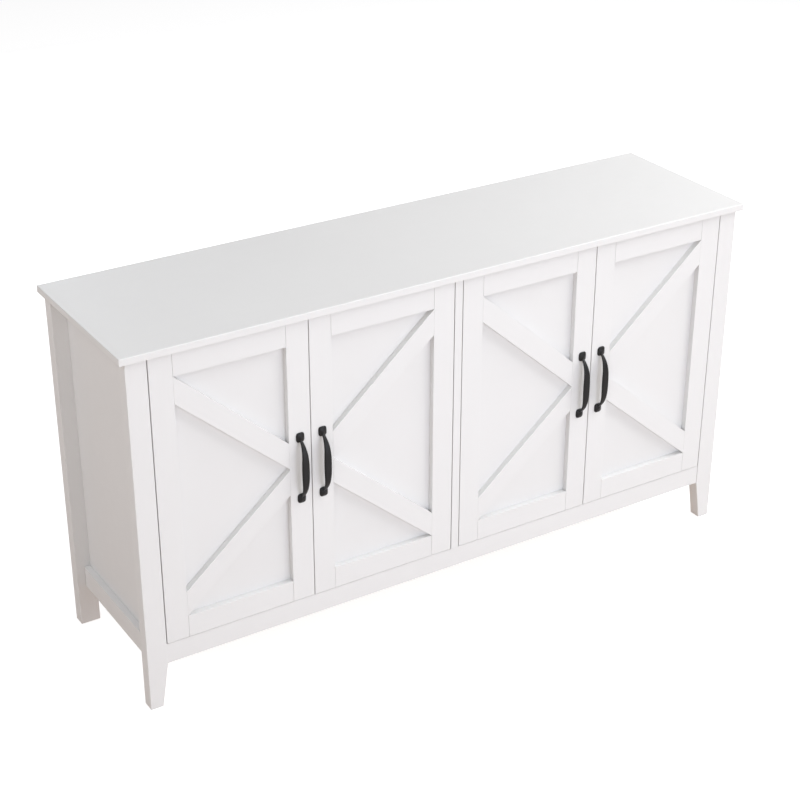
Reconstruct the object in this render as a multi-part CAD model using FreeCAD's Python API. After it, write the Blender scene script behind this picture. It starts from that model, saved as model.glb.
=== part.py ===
"""Four-door sideboard buffet with braced doors, made piece by piece.

The frame stands on the floor at z = 0.  +X is to the right of a person who
faces the doors, +Y goes from the doors to the back, +Z is up, in millimetres.
The origin is under the middle of the whole box, pulls included.
"""
import FreeCAD, Part
import math
import os

V = FreeCAD.Vector

# ---------------------------------------------------------------- driving sizes
# overall
width = 1500.0              # top board, left to right
depth = 400.0               # top board, front to back
height = 800.0              # floor to upper face of the top board
top_thickness = 15.0
top_edge_round = 1.5        # radius of the top board's upper edges

# carcass
side_overhang = 13.7        # top board beyond the legs, each side
front_overhang = 8.7        # top board beyond the doors and front legs
back_overhang = 1.3         # top board beyond the back panel
leg_width = 44.0            # left to right
leg_depth = 29.0            # front to back
foot_width = 28.0           # front foot at the floor, below its inner taper
floor_clearance = 99.5      # floor to the underside of the front and rear bottom rails
rail_height = 41.5          # rear bottom rail, level with the bottom board
front_rail_lip = 5.0        # front bottom rail's top above the bottom board
rail_thickness = 18.0
rail_setback = 1.5          # front bottom rail behind the front of the legs
side_panel_thickness = 12.0
side_rail_thickness = 14.0
side_rail_height = 48.0
side_rail_drop = 5.0        # side rails' underside below the front rail's
board_thickness = 15.0      # bottom board
partition_thickness = 18.0
back_panel_thickness = 3.0
back_panel_lap = 10.0       # back panel onto each rear leg
back_panel_joint = 0.5      # gap between the two back panels

# shelves
shelf_thickness = 15.0
shelf_underside_height = 455.0
shelf_setback = 20.0        # shelf front behind the closed doors
shelf_side_clearance = 2.0
shelf_back_clearance = 1.0
pin_radius = 2.5
pin_depth = 8.0             # shelf pin inside its panel
pin_reach = 8.0             # shelf pin beyond its collar's panel face
pin_collar_radius = 4.0
pin_collar_thickness = 1.5
pin_row_inset = 45.0        # pins from the shelf's front and back edges
pin_pitch = 32.0            # spare holes, above and below the pins in use
spare_holes_each_way = 2

# doors
door_thickness = 18.0
door_side_gap = 2.0         # between doors, legs and partition
door_top_gap = 2.0
door_bottom_gap = 1.5       # above the front bottom rail
stile_width = 49.0
door_rail_width = 49.5
brace_width = 43.5
brace_meeting_drop = 2.25   # upper brace's lowest corner below the middle of the opening
brace_meeting_gap = 3.0     # between the two braces at the meeting stile
door_panel_thickness = 5.0
door_panel_lap = 8.0        # panel behind each frame member
door_panel_clearance = 0.5  # panel edge to the bottom of its rebate

# pulls
pull_middle_height = 460.0  # floor to the middle of each pull
pull_pitch = 140.0          # between the two feet
pull_projection = 24.5      # door face to the front of the bow
pull_foot_width = 18.0
pull_foot_height = 21.0
pull_foot_thickness = 6.0
pull_foot_crown = 0.6       # size of the foot's front, as a share of its base
pull_bow_width = 16.5
pull_bow_thickness = 5.0
pull_neck_width = 5.0
pull_neck_thickness = 4.5
pull_neck_inset = 5.0       # neck root from the foot's centre, towards the middle
pull_arch_power = 4.0       # higher for a flatter middle and steeper ends
pull_swell_power = 2.2      # higher for a bow that stays wide further out
pull_sections = 17          # cross-sections along the bow
pull_screw_radius = 2.0
pull_screw_bite = 4.5       # screw inside the foot
pull_screw_head_radius = 4.25
pull_screw_head_height = 2.2

# concealed hinges
hinge_end_distance = 95.0   # hinge centre from the door's top and bottom edges
cup_radius = 17.5
cup_depth = 11.5
cup_wall = 1.0
cup_edge_distance = 22.0    # cup centre from the door's hinge edge
flange_radius = 19.0
flange_thickness = 1.2
flange_ear_width = 14.0
flange_ear_length = 62.0
cup_screw_spacing = 48.0
hinge_screw_radius = 1.75
hinge_screw_length = 10.0
hinge_screw_head_radius = 3.4
hinge_screw_head_height = 1.5
arm_clearance = 2.8         # arm behind the flange of the closed door
arm_length = 48.0
arm_width = 11.0            # arm proud of its mounting plate
arm_height = 16.0
arm_nose_reach = 30.0       # nose over the cup, from the door's hinge edge
arm_nose_thickness = 5.0
plate_length = 44.0
plate_height = 33.0
plate_screw_spacing = 25.0
plate_screw_row = 12.0      # screws above and below the arm's middle line

# dowels
dowel_radius = 4.0
dowel_length = 30.0
dowel_into_top = 10.0
dowel_end_space = 1.0       # hole deeper than the dowel, at each end
fit_gap = 0.05              # radial clearance of pins, screws and dowels

# ---------------------------------------------------------------- derived planes
box_depth = depth - front_overhang + pull_projection
top_back_y = box_depth / 2
top_front_y = top_back_y - depth
face_y = top_front_y + front_overhang           # doors and front legs
door_back_y = face_y + door_thickness
body_back_y = top_back_y - back_overhang        # rear legs and back panels
back_panel_front_y = body_back_y - back_panel_thickness
front_leg_back_y = face_y + leg_depth
rear_leg_front_y = body_back_y - leg_depth
rail_front_y = face_y + rail_setback
rail_back_y = rail_front_y + rail_thickness
rear_rail_front_y = back_panel_front_y - rail_thickness

leg_outer_x = width / 2 - side_overhang
leg_inner_x = leg_outer_x - leg_width
side_panel_outer_x = leg_inner_x + side_panel_thickness
partition_face_x = partition_thickness / 2

under_top_z = height - top_thickness
floor_board_z = floor_clearance + rail_height   # upper face of the bottom board
front_rail_top_z = floor_board_z + front_rail_lip
door_bottom_z = front_rail_top_z + door_bottom_gap
door_top_z = under_top_z - door_top_gap
door_height = door_top_z - door_bottom_z
bay_width = leg_inner_x - partition_face_x
door_width = (bay_width - 3 * door_side_gap) / 2
opening_width = door_width - 2 * stile_width
opening_height = door_height - 2 * door_rail_width
recess_depth = door_thickness - door_panel_thickness
flange_back_y = door_back_y + flange_thickness
arm_front_y = flange_back_y + arm_clearance
shelf_front_y = door_back_y + shelf_setback
shelf_back_y = back_panel_front_y - shelf_back_clearance


# ---------------------------------------------------------------- basic shapes
def block(x, y, z):
    """Box between two values on each axis, in either order."""
    low = V(min(x), min(y), min(z))
    return Part.makeBox(abs(x[1] - x[0]), abs(y[1] - y[0]), abs(z[1] - z[0]), low)


def rod(start, direction, radius, length):
    """Cylinder from a point along a direction."""
    return Part.makeCylinder(radius, length, V(*start), V(*direction))


def prism_y(points, y):
    """Straight-sided solid with an outline of (x, z) points, between two y values."""
    corners = [V(px, y[0], pz) for px, pz in points]
    outline = Part.makePolygon(corners + corners[:1])
    return Part.Face(outline).extrude(V(0, y[1] - y[0], 0))


def other_side(shape):
    """The same piece on the other side of the middle plane."""
    return shape.mirror(V(0, 0, 0), V(1, 0, 0))


def without(shape, cutters):
    """Shape with every cutter taken away."""
    return shape.cut(Part.makeCompound(cutters)).Solids[0]


def save(name, solids):
    """Write one node, a single solid or a group of separate solids."""
    shape = solids[0] if len(solids) == 1 else Part.makeCompound(solids)
    shape.exportStep(os.path.join("parts", name + ".step"))


# ---------------------------------------------------------------- dowels and pins
def dowel_along(point, direction, first_depth):
    """Dowel and its hole through a joint face.

    The dowel starts first_depth before the point and runs along the direction.
    """
    unit = V(*direction)
    start = V(*point) - unit * first_depth
    dowel = Part.makeCylinder(dowel_radius, dowel_length, start, unit)
    hole_start = start - unit * dowel_end_space
    hole_length = dowel_length + 2 * dowel_end_space
    hole = Part.makeCylinder(dowel_radius + fit_gap, hole_length, hole_start, unit)
    return dowel, hole


def carcass_dowel_pairs():
    """Dowels up into the top board and sideways from the bottom rails into the legs."""
    pairs = []
    up = (0, 0, 1)
    below = dowel_length - dowel_into_top
    leg_mid_x = leg_outer_x - leg_width / 2
    panel_mid_x = leg_inner_x + side_panel_thickness / 2
    inner_depth = rear_leg_front_y - front_leg_back_y
    for side in (-1, 1):
        for y in (face_y + leg_depth / 2, body_back_y - leg_depth / 2):
            pairs.append(dowel_along((side * leg_mid_x, y, under_top_z), up, below))
        for share in (0.25, 0.75):
            y = front_leg_back_y + share * inner_depth
            pairs.append(dowel_along((side * panel_mid_x, y, under_top_z), up, below))
        for y in (rail_front_y + rail_thickness / 2, rear_rail_front_y + rail_thickness / 2):
            for share in (0.25, 0.75):
                z = floor_clearance + share * rail_height
                point = (side * leg_inner_x, y, z)
                pairs.append(dowel_along(point, (side, 0, 0), dowel_length / 2))
    for share in (0.15, 0.5, 0.85):
        y = face_y + share * (back_panel_front_y - face_y)
        pairs.append(dowel_along((0, y, under_top_z), up, below))
    return pairs


def pin_columns():
    """Panel face, outward direction and y of each column of shelf pins."""
    columns = []
    for side in (-1, 1):
        for y in (shelf_front_y + pin_row_inset, shelf_back_y - pin_row_inset):
            columns.append((side * leg_inner_x, -side, y))
            columns.append((side * partition_face_x, side, y))
    return columns


def shelf_pin_pieces():
    """Shelf pins in use, and all the holes drilled for them."""
    pins, holes = [], []
    pin_z = shelf_underside_height - pin_radius
    for face_x, outward, y in pin_columns():
        start = (face_x - outward * pin_depth, y, pin_z)
        pin = rod(start, (outward, 0, 0), pin_radius, pin_depth + pin_reach)
        collar = rod((face_x, y, pin_z), (outward, 0, 0), pin_collar_radius, pin_collar_thickness)
        pins.append(pin.fuse(collar).removeSplitter().Solids[0])
        for step in range(-spare_holes_each_way, spare_holes_each_way + 1):
            z = pin_z + step * pin_pitch
            start = (face_x + outward, y, z)
            holes.append(rod(start, (-outward, 0, 0), pin_radius + fit_gap, pin_depth + 1.0))
    return pins, holes


# ---------------------------------------------------------------- hinges
def hinge_heights():
    """Height of each hinge centre above the floor."""
    return (door_bottom_z + hinge_end_distance, door_top_z - hinge_end_distance)


def countersunk_pair(start, direction, radius, length, head_radius, head_height):
    """Screw with its head at the start, and the hole that its shank needs."""
    unit = V(*direction)
    shank = rod(start, direction, radius, length)
    head_start = V(*start) - unit * head_height
    head = Part.makeCylinder(head_radius, head_height, head_start, unit)
    screw = shank.fuse(head).removeSplitter().Solids[0]
    hole = rod(start, direction, radius + fit_gap, length + dowel_end_space)
    return screw, hole


def hinge_screw(start, direction):
    """One hinge screw and its hole."""
    return countersunk_pair(start, direction, hinge_screw_radius, hinge_screw_length,
                            hinge_screw_head_radius, hinge_screw_head_height)


def cup_pieces():
    """Cups with their screws, and the bores in the stile, with the hinge edge at x = 0."""
    pieces, bores = [], []
    for z in hinge_heights():
        centre = (cup_edge_distance, flange_back_y, z)
        forward = (0, -1, 0)
        body = rod(centre, forward, cup_radius - fit_gap, cup_depth + flange_thickness)
        flange = rod(centre, forward, flange_radius, flange_thickness)
        ear_x = (cup_edge_distance - flange_ear_width / 2, cup_edge_distance + flange_ear_width / 2)
        ear_z = (z - flange_ear_length / 2, z + flange_ear_length / 2)
        ears = block(ear_x, (door_back_y, flange_back_y), ear_z)
        hollow = rod(centre, forward, cup_radius - cup_wall, cup_depth + flange_thickness - cup_wall)
        cup = body.fuse([flange, ears]).removeSplitter()
        holes = [hollow]
        for side in (-1, 1):
            start = (cup_edge_distance, flange_back_y, z + side * cup_screw_spacing / 2)
            screw, hole = hinge_screw(start, forward)
            pieces.append(screw)
            holes.append(hole)
            bores.append(hole)
        pieces.append(without(cup, holes))
        bores.append(rod((cup_edge_distance, door_back_y, z), forward, cup_radius, cup_depth))
    return pieces, bores


def arm_pieces():
    """Arms on their plates with screws, and the screw holes, with the hinge edge at x = 0."""
    pieces, bores = [], []
    wall_x = -door_side_gap
    plate_front_y = front_leg_back_y + door_side_gap
    plate_y = (plate_front_y, plate_front_y + plate_length)
    for z in hinge_heights():
        plate = block((wall_x, 0), plate_y, (z - plate_height / 2, z + plate_height / 2))
        arm_z = (z - arm_height / 2, z + arm_height / 2)
        arm = block((0, arm_width), (arm_front_y, arm_front_y + arm_length), arm_z)
        nose = block((0, arm_nose_reach), (arm_front_y, arm_front_y + arm_nose_thickness), arm_z)
        hinge = plate.fuse([arm, nose]).removeSplitter()
        holes = []
        for side in (-1, 1):
            y = plate_front_y + plate_length / 2 + side * plate_screw_spacing / 2
            screw, hole = hinge_screw((0, y, z + side * plate_screw_row), (-1, 0, 0))
            pieces.append(screw)
            holes.append(hole)
        pieces.append(without(hinge, holes))
        bores += holes
    return pieces, bores


# ---------------------------------------------------------------- door pull
def bow_section(t):
    """Cross-section of the bow at t, from -1 at its lower root to 1 at its upper one.

    The middle line stands out as a flattened arch and leans with its own slope,
    and the section swells from the neck to the middle.
    """
    half_span = pull_pitch / 2 - pull_neck_inset
    root = pull_foot_thickness / 2
    rise = pull_projection - pull_bow_thickness / 2 - root
    power = pull_arch_power
    out = root + rise * (1 - abs(t) ** power)
    slope = -math.copysign(1, t) * rise * power * abs(t) ** (power - 1) / half_span
    swell = 1 - abs(t) ** pull_swell_power
    half_width = (pull_neck_width + (pull_bow_width - pull_neck_width) * swell) / 2
    half_thick = (pull_neck_thickness + (pull_bow_thickness - pull_neck_thickness) * swell) / 2
    length = math.hypot(1, slope)
    lean_out, lean_up = 1 / length, -slope / length
    middle_z = pull_middle_height + t * half_span
    corners = []
    for across, through in ((-1, -1), (1, -1), (1, 1), (-1, 1)):
        y = face_y - out - through * half_thick * lean_out
        z = middle_z + through * half_thick * lean_up
        corners.append(V(across * half_width, y, z))
    return Part.makePolygon(corners + corners[:1])


def pull_foot(z):
    """Square foot with a smaller front, like a flat-topped pyramid."""
    def outline(share, y):
        half_x = share * pull_foot_width / 2
        half_z = share * pull_foot_height / 2
        ring = [V(sx * half_x, y, z + sz * half_z) for sx, sz in ((-1, -1), (1, -1), (1, 1), (-1, 1))]
        return Part.makePolygon(ring + ring[:1])
    base_y = face_y - pull_foot_thickness / 2
    base = block((-pull_foot_width / 2, pull_foot_width / 2), (face_y, base_y),
                 (z - pull_foot_height / 2, z + pull_foot_height / 2))
    crown = Part.makeLoft([outline(1, base_y), outline(pull_foot_crown, face_y - pull_foot_thickness)],
                          True, True)
    return base.fuse(crown)


def pull_pieces():
    """Pull centred on x = 0, its two screws, and the holes in the stile."""
    last = pull_sections - 1
    bow = Part.makeLoft([bow_section(2 * i / last - 1) for i in range(pull_sections)], True, True)
    feet_z = [pull_middle_height + side * pull_pitch / 2 for side in (-1, 1)]
    pull = bow.fuse([pull_foot(z) for z in feet_z]).removeSplitter()
    screws, holes = [], []
    for z in feet_z:
        length = door_thickness + pull_screw_bite
        screw, hole = countersunk_pair((0, door_back_y, z), (0, -1, 0), pull_screw_radius, length,
                                       pull_screw_head_radius, pull_screw_head_height)
        screws.append(screw)
        holes.append(hole)
    return without(pull, holes), screws, holes


# ---------------------------------------------------------------- doors
def brace_outline(corner_z, reach):
    """Corners of the brace from the hinge corner at corner_z to reach away from it.

    The brace fills its corner and keeps one width, so its upright length at each
    end depends on its slope, which is found by repeating the pair of equations.
    """
    upright = brace_width
    for _ in range(30):
        slope = math.atan2(abs(reach) - upright, opening_width)
        upright = brace_width / math.cos(slope)
    left, right = stile_width, stile_width + opening_width
    way = math.copysign(1, reach)
    far = corner_z + reach
    return [(left, corner_z), (left, corner_z + way * upright), (right, far),
            (right, far - way * upright)]


def door_pieces():
    """All pieces of one door, its hinge edge at x = 0 and the door towards +X."""
    face_to_back = (face_y, door_back_y)
    rail_x = (stile_width, door_width - stile_width)
    all_z = (door_bottom_z, door_top_z)
    lap = door_panel_lap - door_panel_clearance
    panel_x = (rail_x[0] - lap, rail_x[1] + lap)
    low_z, high_z = door_bottom_z + door_rail_width, door_top_z - door_rail_width
    panel_y = (face_y + recess_depth, door_back_y)
    rebate = block((rail_x[0] - door_panel_lap, rail_x[1] + door_panel_lap), panel_y,
                   (low_z - door_panel_lap, high_z + door_panel_lap))
    pull, pull_screws, pull_holes = pull_pieces()
    cups, cup_bores = cup_pieces()
    shift = V(door_width - stile_width / 2, 0, 0)
    upper_reach = opening_height / 2 + brace_meeting_drop
    upper = brace_outline(high_z, -upper_reach)
    lower = brace_outline(low_z, opening_height - upper_reach - brace_meeting_gap)
    brace_y = (face_y, face_y + recess_depth)
    meeting_x = (door_width - stile_width, door_width)
    return {
        "hinge_stile": [without(block((0, stile_width), face_to_back, all_z), [rebate] + cup_bores)],
        "meeting_stile": [without(block(meeting_x, face_to_back, all_z),
                                  [rebate] + [hole.translated(shift) for hole in pull_holes])],
        "top_rail": [without(block(rail_x, face_to_back, (high_z, door_top_z)), [rebate])],
        "bottom_rail": [without(block(rail_x, face_to_back, (door_bottom_z, low_z)), [rebate])],
        "panel": [block(panel_x, panel_y, (low_z - lap, high_z + lap))],
        "upper_brace": [prism_y(upper, brace_y)],
        "lower_brace": [prism_y(lower, brace_y)],
        "handle": [pull.translated(shift)],
        "handle_screws": [screw.translated(shift) for screw in pull_screws],
        "hinge_cups": cups,
    }


def hinge_places():
    """X of each door's hinge edge, and the way the door runs from it."""
    outer = leg_inner_x - door_side_gap
    inner = partition_face_x + door_side_gap
    return ((-outer, 1), (-inner, -1), (inner, 1), (outer, -1))


def at_hinge(shape, hinge_x, way):
    """Door or hinge piece moved from x = 0 to its own hinge edge."""
    turned = shape if way > 0 else other_side(shape)
    return turned.translated(V(hinge_x, 0, 0))


# ---------------------------------------------------------------- carcass
def front_leg():
    """Left front leg, with the taper of its foot on the inner side."""
    outer, inner = -leg_outer_x, -leg_inner_x
    outline = [(outer, 0), (outer + foot_width, 0), (inner, floor_clearance),
               (inner, under_top_z), (outer, under_top_z)]
    return prism_y(outline, (face_y, front_leg_back_y))


def rear_leg():
    """Left rear leg, straight, with a rebate for the edge of the back panel."""
    leg = block((-leg_outer_x, -leg_inner_x), (rear_leg_front_y, body_back_y), (0, under_top_z))
    rebate = block((-leg_inner_x - back_panel_lap, -leg_inner_x), (back_panel_front_y, body_back_y),
                   (floor_clearance, under_top_z))
    return leg.cut(rebate)


def top_board():
    """Top board with its upper edges rounded over."""
    board = block((-width / 2, width / 2), (top_front_y, top_back_y), (under_top_z, height))
    upper = [edge for edge in board.Edges if edge.BoundBox.ZMin > height - 0.1]
    return board.makeFillet(top_edge_round, upper)


def left_pieces():
    """Pieces of the left side that have a twin on the right."""
    wall_z = (floor_clearance, under_top_z)
    low_rail_z = floor_clearance - side_rail_drop
    rail_z = (low_rail_z, low_rail_z + side_rail_height)
    between_legs = (front_leg_back_y, rear_leg_front_y)
    shelf_x = (-leg_inner_x + shelf_side_clearance, -partition_face_x - shelf_side_clearance)
    shelf_z = (shelf_underside_height, shelf_underside_height + shelf_thickness)
    panel_x = (-leg_inner_x - back_panel_lap, -back_panel_joint / 2)
    rail_x = (-side_panel_outer_x - side_rail_thickness, -side_panel_outer_x)
    return {
        "front_{}_leg": front_leg(),
        "rear_{}_leg": rear_leg(),
        "{}_side_panel": block((-side_panel_outer_x, -leg_inner_x), between_legs, wall_z),
        "{}_side_rail": block(rail_x, between_legs, rail_z),
        "{}_back_panel": block(panel_x, (back_panel_front_y, body_back_y), wall_z),
        "{}_shelf": block(shelf_x, (shelf_front_y, shelf_back_y), shelf_z),
    }


def middle_pieces():
    """Pieces that run across the middle."""
    inside_x = (-leg_inner_x, leg_inner_x)
    rail_z = (floor_clearance, floor_board_z)
    board_z = (floor_board_z - board_thickness, floor_board_z)
    partition_x = (-partition_face_x, partition_face_x)
    partition = block(partition_x, (face_y, back_panel_front_y), (floor_board_z, under_top_z))
    notch = block(inside_x, (face_y - 1, rail_back_y), (floor_board_z - 1, front_rail_top_z))
    return {
        "top_board": top_board(),
        "front_bottom_rail": block(inside_x, (rail_front_y, rail_back_y),
                                   (floor_clearance, front_rail_top_z)),
        "rear_bottom_rail": block(inside_x, (rear_rail_front_y, back_panel_front_y), rail_z),
        "bottom_board": block(inside_x, (rail_back_y, rear_rail_front_y), board_z),
        "centre_partition": without(partition, [notch]),
    }


def main():
    """Build every piece and write one file for each node."""
    os.makedirs("parts", exist_ok=True)
    dowels = carcass_dowel_pairs()
    pins, pin_holes = shelf_pin_pieces()
    arms, arm_bores = arm_pieces()
    hinge_arms, drillings = [], [hole for _, hole in dowels] + pin_holes
    for hinge_x, way in hinge_places():
        hinge_arms += [at_hinge(piece, hinge_x, way) for piece in arms]
        drillings += [at_hinge(bore, hinge_x, way) for bore in arm_bores]

    carcass = middle_pieces()
    for name, shape in left_pieces().items():
        carcass[name.format("left")] = shape
        carcass[name.format("right")] = other_side(shape)
    for name, shape in carcass.items():
        save(name, [without(shape, drillings)])
    save("carcass_dowels", [dowel for dowel, _ in dowels])
    save("shelf_pins", pins)
    save("hinge_arms", hinge_arms)

    pieces = door_pieces()
    for number, (hinge_x, way) in enumerate(hinge_places(), start=1):
        for name, solids in pieces.items():
            placed = [at_hinge(solid, hinge_x, way) for solid in solids]
            save("door_{}_{}".format(number, name), placed)


main()
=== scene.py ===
"""Looks of a white sideboard buffet with four braced doors and black arch pulls.

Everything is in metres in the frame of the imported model: +X to the right of a person who
faces the doors, +Y from the doors to the back, +Z up, with the floor at zero.
"""
import logging
import math
from dataclasses import dataclass, field
from enum import Enum
from typing import Iterable, Sequence, Union

import bmesh
import bpy
import numpy as np
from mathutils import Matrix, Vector


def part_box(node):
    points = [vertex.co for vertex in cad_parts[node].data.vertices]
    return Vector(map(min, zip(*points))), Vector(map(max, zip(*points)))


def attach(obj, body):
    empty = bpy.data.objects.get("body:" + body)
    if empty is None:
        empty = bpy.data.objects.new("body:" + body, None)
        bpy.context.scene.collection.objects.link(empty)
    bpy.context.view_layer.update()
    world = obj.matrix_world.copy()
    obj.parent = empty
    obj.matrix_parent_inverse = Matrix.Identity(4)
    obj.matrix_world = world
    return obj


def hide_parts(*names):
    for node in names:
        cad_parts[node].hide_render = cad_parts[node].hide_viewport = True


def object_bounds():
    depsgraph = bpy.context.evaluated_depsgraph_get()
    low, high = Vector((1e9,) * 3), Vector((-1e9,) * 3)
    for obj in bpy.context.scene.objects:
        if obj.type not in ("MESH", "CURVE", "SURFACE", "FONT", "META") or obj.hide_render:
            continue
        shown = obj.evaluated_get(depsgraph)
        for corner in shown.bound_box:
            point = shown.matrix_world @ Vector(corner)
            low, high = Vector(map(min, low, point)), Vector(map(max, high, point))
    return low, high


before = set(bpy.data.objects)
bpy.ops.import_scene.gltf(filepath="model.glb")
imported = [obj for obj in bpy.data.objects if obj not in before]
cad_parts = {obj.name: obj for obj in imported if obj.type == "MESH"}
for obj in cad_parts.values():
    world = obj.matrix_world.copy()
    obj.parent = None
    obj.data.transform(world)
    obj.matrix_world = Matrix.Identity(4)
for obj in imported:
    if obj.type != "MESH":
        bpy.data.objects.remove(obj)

Array = np.ndarray
Surface = tuple[Array, Array, list]
Colour = tuple[float, float, float]
Place = tuple[float, float, float]
SocketValue = Union[bpy.types.NodeSocket, float, tuple]
MM = 0.001
X, Y, Z = 0, 1, 2
MERGE_DISTANCE = 2e-6
SLIVER_LENGTH = 1e-7
NEAR = 0.1 * MM
CAD_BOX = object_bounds()
log = logging.getLogger("sideboard")


# ------------------------------------------------------------------ surfaces as arrays
def unit_rows(rows: Array) -> Array:
    """Each row divided by its own length."""
    return rows / np.linalg.norm(rows, axis=-1, keepdims=True)


def rounded_outline(corners: Sequence, radii: float | Sequence[float],
                    steps: int = 3) -> tuple[Array, Array]:
    """Closed flat outline with its corners rounded.

    Each corner becomes an arc: the arc's centre lies on the corner's bisector, and its
    points are the centre plus the radius times a normal that turns evenly from the
    normal of the edge before the corner to the normal of the edge after it.

    Args:
        corners: Corner points in order, either way round.
        radii: One radius, or one for each corner.
        steps: Spans of each arc.

    Returns:
        Points and outward normals, one row for each point, anticlockwise.
    """
    ring = np.asarray(corners, float)
    size = np.array(np.broadcast_to(radii, len(ring)), float)
    following = np.roll(ring, -1, axis=0)
    if np.sum(ring[:, 0] * following[:, 1] - ring[:, 1] * following[:, 0]) < 0:
        ring, size = ring[::-1], size[::-1]
    before = unit_rows(ring - np.roll(ring, 1, axis=0))
    after = np.roll(before, -1, axis=0)
    cross = before[:, 0] * after[:, 1] - before[:, 1] * after[:, 0]
    dot = np.sum(before * after, axis=1)
    turn = np.arctan2(cross, dot)
    side = np.where(turn < 0, -1.0, 1.0)
    normal_in = np.stack([before[:, 1], -before[:, 0]], axis=1)
    normal_out = np.stack([after[:, 1], -after[:, 0]], axis=1)
    reach = (side * size / (1 + dot))[:, None]
    centre = ring - reach * (normal_in + normal_out)
    share = np.linspace(0, 1, steps + 1)
    angle = np.arctan2(normal_in[:, 1], normal_in[:, 0])[:, None] + turn[:, None] * share
    normals = np.stack([np.cos(angle), np.sin(angle)], axis=-1)
    points = centre[:, None] + (side * size)[:, None, None] * normals
    return points.reshape(-1, 2), normals.reshape(-1, 2)


def grid_quads(rows: int, columns: int, closed: bool = True) -> Array:
    """Corner numbers of the four-sided faces of a grid of points.

    Args:
        rows: Rings of points.
        columns: Points in each ring.
        closed: True if each ring's last point joins its first.

    Returns:
        One row of four point numbers for each face.
    """
    spans = columns if closed else columns - 1
    row, column = np.meshgrid(np.arange(rows - 1), np.arange(spans), indexing="ij")
    beside = (column + 1) % columns
    low, high = row * columns, (row + 1) * columns
    return np.stack([low + column, low + beside, high + beside, high + column], -1).reshape(-1, 4)


def solid_mesh(name: str, points: Array, quads: Array,
               caps: Iterable[Iterable[int]] = ()) -> bpy.types.Mesh:
    """Mesh of a closed surface, its doubled points merged and its faces turned outwards.

    Args:
        name: Name of the mesh.
        points: One row for each point.
        quads: Faces with four corners.
        caps: Faces with any number of corners.

    Returns:
        The finished mesh.
    """
    mesh = bpy.data.meshes.new(name)
    mesh.from_pydata(points.tolist(), [], quads.tolist() + [list(cap) for cap in caps])
    shape = bmesh.new()
    shape.from_mesh(mesh)
    bmesh.ops.remove_doubles(shape, verts=shape.verts, dist=MERGE_DISTANCE)
    bmesh.ops.dissolve_degenerate(shape, edges=shape.edges, dist=SLIVER_LENGTH)
    bmesh.ops.recalc_face_normals(shape, faces=shape.faces)
    shape.to_mesh(mesh)
    shape.free()
    return mesh


def carried_profile(axis: int, rings: Sequence[tuple[float, Array]]) -> Surface:
    """Surface of a flat outline carried along an axis, closed at both ends.

    Point (i, j) is point j of ring i's outline in the plane across the axis, at ring i's
    distance along the axis.

    Args:
        axis: 0, 1 or 2 for X, Y or Z.
        rings: Distance along the axis and outline of each ring, all with as many points.

    Returns:
        Points, four-sided faces and the two end faces.
    """
    count = len(rings[0][1])
    points = np.zeros((len(rings), count, 3))
    points[..., axis] = np.array([along for along, _ in rings])[:, None]
    flat = np.stack([outline for _, outline in rings])
    points[..., (axis + 1) % 3] = flat[..., 0]
    points[..., (axis + 2) % 3] = flat[..., 1]
    last = (len(rings) - 1) * count
    caps = [list(range(count))[::-1], list(range(last, last + count))]
    return points.reshape(-1, 3), grid_quads(len(rings), count), caps


def eased_rings(low: float, high: float, outline: Array, normals: Array, ease: float,
                steps: int = 3) -> list[tuple[float, Array]]:
    """Rings of a bar whose end edges are rounded.

    Near each end the outline shrinks by the ease times one minus a sine while it moves by
    the ease times one minus the cosine of the same angle, which draws a quarter circle.

    Args:
        low: Start along the axis.
        high: End along the axis.
        outline: Points of the full outline.
        normals: Outward normals of those points.
        ease: Radius of the rounding.
        steps: Spans of each quarter circle.

    Returns:
        Rings for carried_profile.
    """
    angle = np.linspace(0, math.pi / 2, steps + 1)
    inset = ease * (1 - np.sin(angle))
    move = ease * (1 - np.cos(angle))
    start = [(low + m, outline - i * normals) for m, i in zip(move, inset)]
    end = [(high - m, outline - i * normals) for m, i in zip(move[::-1], inset[::-1])]
    return start + end


def eased_bar(name: str, axis: int, span: tuple[float, float], corners: Sequence,
              ease: float, radii: float | Sequence[float] | None = None) -> bpy.types.Mesh:
    """Straight bar of any section with every edge eased.

    Args:
        name: Name of the mesh.
        axis: Direction of the bar.
        span: Start and end along the axis.
        corners: Section's corners in the two other axes, in cyclic order after the axis.
        ease: Radius of the end edges, and of the long edges if radii isn't given.
        radii: Radius of each long edge.

    Returns:
        The bar's mesh.
    """
    outline, normals = rounded_outline(corners, ease if radii is None else radii)
    return solid_mesh(name, *carried_profile(axis, eased_rings(*span, outline, normals, ease)))


def turned_rings(profile: Array, count: int) -> Array:
    """Points of a profile of (radius, height) turned about its axis.

    Args:
        profile: One row for each ring.
        count: Points in each ring.

    Returns:
        Points with shape (rings, count, 3): radius times cosine, radius times sine, height.
    """
    angle = np.linspace(0, 2 * math.pi, count, endpoint=False)
    radius, height = profile[:, 0][:, None], profile[:, 1][:, None]
    return np.stack([radius * np.cos(angle), radius * np.sin(angle),
                     np.broadcast_to(height, (len(profile), count))], axis=-1)


def joined(parts: Sequence[Surface]) -> Surface:
    """Several surfaces as one set of points and faces.

    Args:
        parts: Points, four-sided faces and end faces of each surface.

    Returns:
        The same of all of them together, each part's numbers moved on past the last part's.
    """
    offsets = np.cumsum([0] + [len(points) for points, _, _ in parts])
    points = np.concatenate([part[0] for part in parts])
    quads = np.concatenate([part[1] + start for part, start in zip(parts, offsets)])
    caps = [[number + start for number in cap]
            for part, start in zip(parts, offsets) for cap in part[2]]
    return points, quads, caps


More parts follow.
